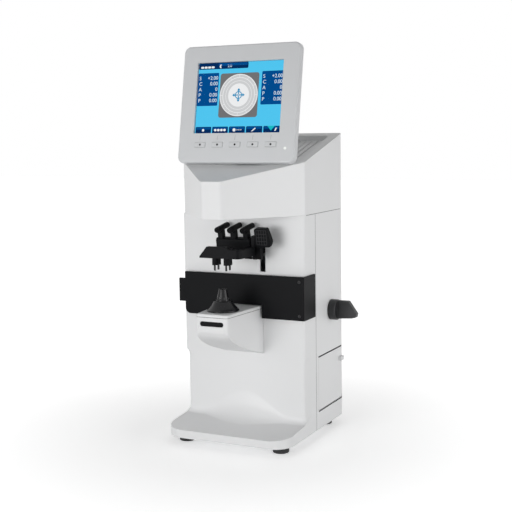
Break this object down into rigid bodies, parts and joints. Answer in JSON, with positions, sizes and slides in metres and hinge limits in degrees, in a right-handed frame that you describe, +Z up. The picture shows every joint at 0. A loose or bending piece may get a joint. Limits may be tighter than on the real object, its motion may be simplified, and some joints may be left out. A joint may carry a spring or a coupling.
{
  "type": "lensmeter",
  "caption": "Table-top automatic lensmeter: column with foot and pointed hood, tilting display, lens stage with nosepiece, sliding holder with pens, lever-driven table.",
  "frame": {"origin": "on the table top under the plane of symmetry, below the front face of the column", "axes": "+X to the right as the user sees it, -Y towards the user, +Z up"},
  "size_m": [0.2035, 0.2043, 0.4836],
  "materials": {
    "housing_white": "fine satin, injection moulded",
    "bezel_grey": "fine satin",
    "black_plastic": "satin",
    "gloss_black": "gloss",
    "rubber": "matt",
    "sheet_steel": "zinc plated",
    "steel": "ground",
    "aluminium": "machined",
    "glass": "clear",
    "screen": "lit display",
    "circuit_board": "solder resist",
    "paper": "thermal paper",
    "led": "lit"
  },
  "bodies": {
    "housing": {"front_shell": "housing_white", "rear_cover": "housing_white", "hood_cover": "housing_white", "head_plate": "sheet_steel", "top_tray": "housing_white", "base_plate": "sheet_steel", "rubber_feet": "rubber", "chassis_frame": "sheet_steel", "stage_housing": "housing_white", "stage_cover": "housing_white", "stage_bracket": "sheet_steel", "nosepiece_cone": "gloss_black", "nosepiece_crown": "gloss_black", "measuring_window": "glass", "sensor_tube": "black_plastic", "sensor_board": "circuit_board", "lamp_housing": "aluminium", "lamp_optics": "glass", "rail_brackets": "aluminium", "holder_rails": "steel", "table_guides": "aluminium", "mainboard": "circuit_board", "power_supply": "sheet_steel", "printer_mechanism": "black_plastic", "paper_roll": "paper", "paper_cradle": "black_plastic", "power_inlet": "black_plastic", "data_port": "aluminium", "lever_bush": "black_plastic", "monitor_neck": "black_plastic", "hinge_pin": "steel"},
    "display": {"display_bezel": "bezel_grey", "display_back": "bezel_grey", "lcd_panel": "screen", "screen_glass": "glass", "key_board": "circuit_board", "power_led": "led"},
    "holder": {"holder_carriage": "aluminium", "holder_arm": "black_plastic", "pin_sockets": "black_plastic"},
    "marker": {"marker_block": "black_plastic", "marker_pens": "black_plastic", "marker_handle": "black_plastic", "marker_shaft": "steel"},
    "table": {"table_plate": "black_plastic", "table_arms": "aluminium"},
    "lever": {"lever_knob": "black_plastic", "lever_shaft": "steel"},
    "button": {"read_button": "black_plastic"},
    "door": {"printer_door": "housing_white"},
    "rocker": {"power_rocker": "black_plastic"},
    "key_1": {"soft_key_1": "bezel_grey"},
    "key_2": {"soft_key_2": "bezel_grey"},
    "key_3": {"soft_key_3": "bezel_grey"},
    "key_4": {"soft_key_4": "bezel_grey"},
    "key_5": {"soft_key_5": "bezel_grey"},
    "pin_1": {"holder_pin_1": "rubber"},
    "pin_2": {"holder_pin_2": "rubber"},
    "pin_3": {"holder_pin_3": "rubber"},
    "pin_4": {"holder_pin_4": "rubber"}
  },
  "joints": [
    {"name": "monitor_tilt", "type": "hinge", "parent": "housing", "child": "display", "pos_m": [0, 0.01608, 0.36644], "axis": [1, 0, 0], "range_deg": [-30, 0]},
    {"name": "holder_slide", "type": "slide", "parent": "housing", "child": "holder", "axis": [0, 0, -1], "range_m": [0, 0.02]},
    {"name": "marker_swing", "type": "hinge", "parent": "holder", "child": "marker", "pos_m": [0, -0.01862, 0.23159], "axis": [1, 0, 0], "range_deg": [0, 81], "stiffness_Nm_per_rad": 0.012, "springref_deg": -51.57},
    {"name": "lever_turn", "type": "hinge", "parent": "housing", "child": "lever", "pos_m": [0.083, 0.083, 0.155], "axis": [1, 0, 0], "range_deg": [0, 114.59]},
    {"name": "table_slide", "type": "slide", "parent": "housing", "child": "table", "axis": [0, -1, 0], "range_m": [0, 0.024]},
    {"name": "read_button_press", "type": "slide", "parent": "housing", "child": "button", "axis": [0, 1, 0], "range_m": [0, 0.001], "stiffness_N_per_m": 500, "springref_m": -0.001},
    {"name": "printer_door_swing", "type": "hinge", "parent": "housing", "child": "door", "pos_m": [0.08125, 0.08, 0.03475], "axis": [0, 1, 0], "range_deg": [0, 80]},
    {"name": "power_rocker_tip", "type": "hinge", "parent": "housing", "child": "rocker", "pos_m": [-0.014, 0.118, 0.048], "axis": [1, 0, 0], "range_deg": [-14, 0]},
    {"name": "soft_key_1_press", "type": "slide", "parent": "display", "child": "key_1", "axis": [0, 0.9839, -0.1788], "range_m": [0, 0.0007], "stiffness_N_per_m": 500, "springref_m": -0.0008},
    {"name": "soft_key_2_press", "type": "slide", "parent": "display", "child": "key_2", "axis": [0, 0.9839, -0.1788], "range_m": [0, 0.0007], "stiffness_N_per_m": 500, "springref_m": -0.0008},
    {"name": "soft_key_3_press", "type": "slide", "parent": "display", "child": "key_3", "axis": [0, 0.9839, -0.1788], "range_m": [0, 0.0007], "stiffness_N_per_m": 500, "springref_m": -0.0008},
    {"name": "soft_key_4_press", "type": "slide", "parent": "display", "child": "key_4", "axis": [0, 0.9839, -0.1788], "range_m": [0, 0.0007], "stiffness_N_per_m": 500, "springref_m": -0.0008},
    {"name": "soft_key_5_press", "type": "slide", "parent": "display", "child": "key_5", "axis": [0, 0.9839, -0.1788], "range_m": [0, 0.0007], "stiffness_N_per_m": 500, "springref_m": -0.0008},
    {"name": "holder_pin_1_lift", "type": "slide", "parent": "holder", "child": "pin_1", "axis": [0, 0, 1], "range_m": [0, 0.004], "stiffness_N_per_m": 120, "springref_m": -0.003},
    {"name": "holder_pin_2_lift", "type": "slide", "parent": "holder", "child": "pin_2", "axis": [0, 0, 1], "range_m": [0, 0.004], "stiffness_N_per_m": 120, "springref_m": -0.003},
    {"name": "holder_pin_3_lift", "type": "slide", "parent": "holder", "child": "pin_3", "axis": [0, 0, 1], "range_m": [0, 0.004], "stiffness_N_per_m": 120, "springref_m": -0.003},
    {"name": "holder_pin_4_lift", "type": "slide", "parent": "holder", "child": "pin_4", "axis": [0, 0, 1], "range_m": [0, 0.004], "stiffness_N_per_m": 120, "springref_m": -0.003}
  ],
  "couplings": [
    {"joint": "lever_turn", "follows": "table_slide", "rad_per_m": 83.33}
  ]
}
